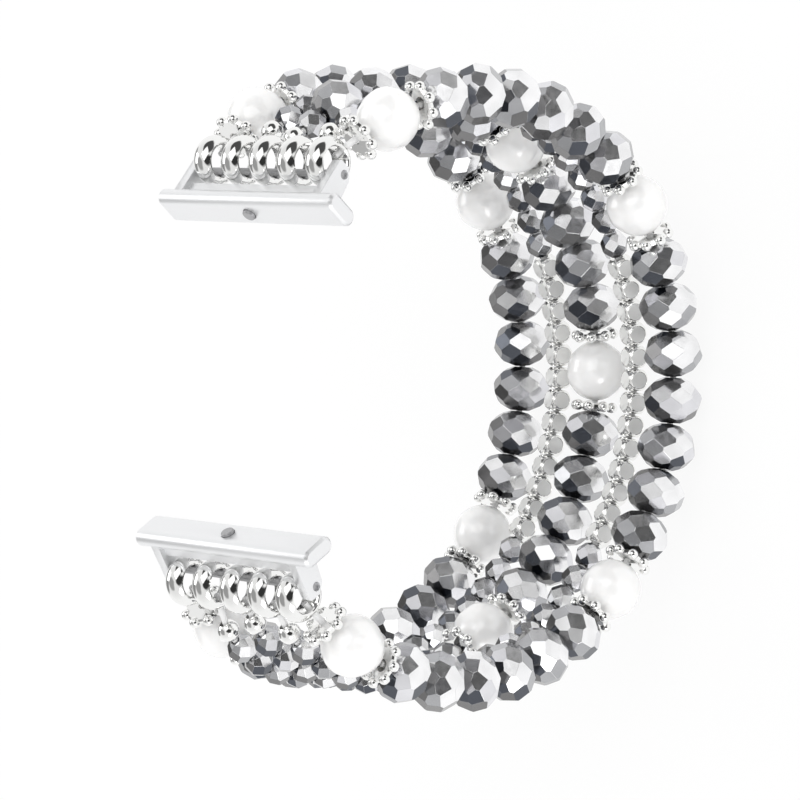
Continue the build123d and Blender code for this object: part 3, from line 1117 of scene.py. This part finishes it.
def light_path(tree, *rays):
    """1 for a ray of any of the kinds named, otherwise 0."""
    path = add_node(tree, "ShaderNodeLightPath")
    seen = path.outputs[rays[0]]
    for ray in rays[1:]:
        seen = calculate(tree, "MAXIMUM", seen, path.outputs[ray])
    return seen


def mirrored_studio(tree):
    """What metal mirrors: a white room, whiter low down, with a few dark cards."""
    view = add_node(tree, "ShaderNodeTexCoord").outputs["Generated"]
    height = add_node(tree, "ShaderNodeSeparateXYZ", Vector=view).outputs["Z"]
    light = map_range(tree, height, 1, CEILING_LIGHT, 0, CEILING_FROM)
    ragged = add_node(tree, "ShaderNodeTexNoise", Scale=CARD_WAVES, Detail=0.0, Vector=view)
    edge = map_range(tree, ragged.outputs["Fac"], -CARD_RAGGEDNESS, CARD_RAGGEDNESS)
    for direction, width, rest in DARK_CARDS:
        place = calculate(tree, "ADD", facing_share(tree, view, direction), edge)
        card = map_range(tree, place, 1, rest, width - CARD_SOFTNESS, width + CARD_SOFTNESS)
        light = calculate(tree, "MULTIPLY", light, card)
    return light


def make_world(studio):
    world = bpy.data.worlds.new("white_studio")
    world.use_nodes = True
    bpy.context.scene.world = world
    tree = world.node_tree
    shown = set_values(tree.nodes["Background"], Color=WHITE, Strength=studio.fill_level)
    seen = add_node(tree, "ShaderNodeBackground", Color=WHITE, Strength=1.0)
    mirrored = add_node(tree, "ShaderNodeBackground", Color=WHITE, Strength=mirrored_studio(tree))
    for rays, other in ((("Is Glossy Ray",), mirrored), (("Is Camera Ray", "Is Transmission Ray"), seen)):
        shown = mix_shaders(tree, light_path(tree, *rays), shown, other)
    set_values(tree.nodes["World Output"], Surface=shown.outputs[0])


def make_floor(studio):
    """A pale floor that shows white but keeps the band's soft shadow."""
    work = bmesh.new()
    bmesh.ops.create_grid(work, x_segments=1, y_segments=1, size=studio.floor_side / 2)
    floor = mesh_object("studio_floor", work)
    material, tree, shader = new_material("studio_paper", studio.floor, 0, 0.9)
    set_values(shader, Specular_IOR_Level=0)
    glow = add_node(tree, "ShaderNodeEmission", Color=WHITE, Strength=1.0)
    seen = light_path(tree, "Is Camera Ray", "Is Glossy Ray", "Is Transmission Ray")
    mix = mix_shaders(tree, calculate(tree, "MULTIPLY", seen, FLOOR_GLOW), shader, glow)
    set_values(tree.nodes["Material Output"], Surface=mix.outputs[0])
    set_finish(floor.data, material)


class BAND_OT_studio(BandOperator, bpy.types.Operator):
    """Set up the floor, the lamps, the white surroundings and the camera"""

    bl_idname = "bead_band.studio"
    bl_label = "Studio"

    def execute(self, context):
        studio = context.scene.band_studio
        make_floor(studio)
        make_world(studio)
        for lamp in LAMPS:
            softbox(*lamp)
        camera = bpy.data.cameras.new("camera")
        camera.lens = studio.camera_lens
        camera.sensor_width = SENSOR_WIDTH
        camera.clip_start = 0.01
        thing = link(bpy.data.objects.new("camera", camera))
        thing.location = studio.camera_place
        thing.rotation_euler = studio.camera_turn
        context.scene.camera = thing
        context.scene.view_settings.view_transform = "Standard"
        return {"FINISHED"}


class BAND_PT_panel(bpy.types.Panel):
    """Lists the band's pieces and their settings"""

    bl_label = "Bead Watch Band"
    bl_space_type = "VIEW_3D"
    bl_region_type = "UI"
    bl_category = "Bead band"

    def draw(self, context):
        for piece in PIECES:
            self.layout.operator(piece.bl_idname)
        for name, group in SETTINGS.items():
            box = self.layout.box()
            for prop in group.__annotations__:
                box.prop(getattr(context.scene, name), prop)


PIECES = (
    BAND_OT_crystals, BAND_OT_pearls, BAND_OT_silver_beads, BAND_OT_rings, BAND_OT_cords,
    BAND_OT_adapters, BAND_OT_studio,
)
CLASSES = (*SETTINGS.values(), *PIECES, BAND_PT_panel)


def register():
    for kind in CLASSES:
        bpy.utils.register_class(kind)
    for name, group in SETTINGS.items():
        setattr(bpy.types.Scene, name, bpy.props.PointerProperty(type=group))


def unregister():
    for name in SETTINGS:
        delattr(bpy.types.Scene, name)
    for kind in reversed(CLASSES):
        bpy.utils.unregister_class(kind)


def main():
    register()
    bpy.ops.bead_band.crystals()
    bpy.ops.bead_band.pearls()
    bpy.ops.bead_band.silver_beads()
    bpy.ops.bead_band.rings()
    bpy.ops.bead_band.cords()
    bpy.ops.bead_band.adapters()
    bpy.ops.bead_band.studio()


if __name__ == "__main__":
    main()
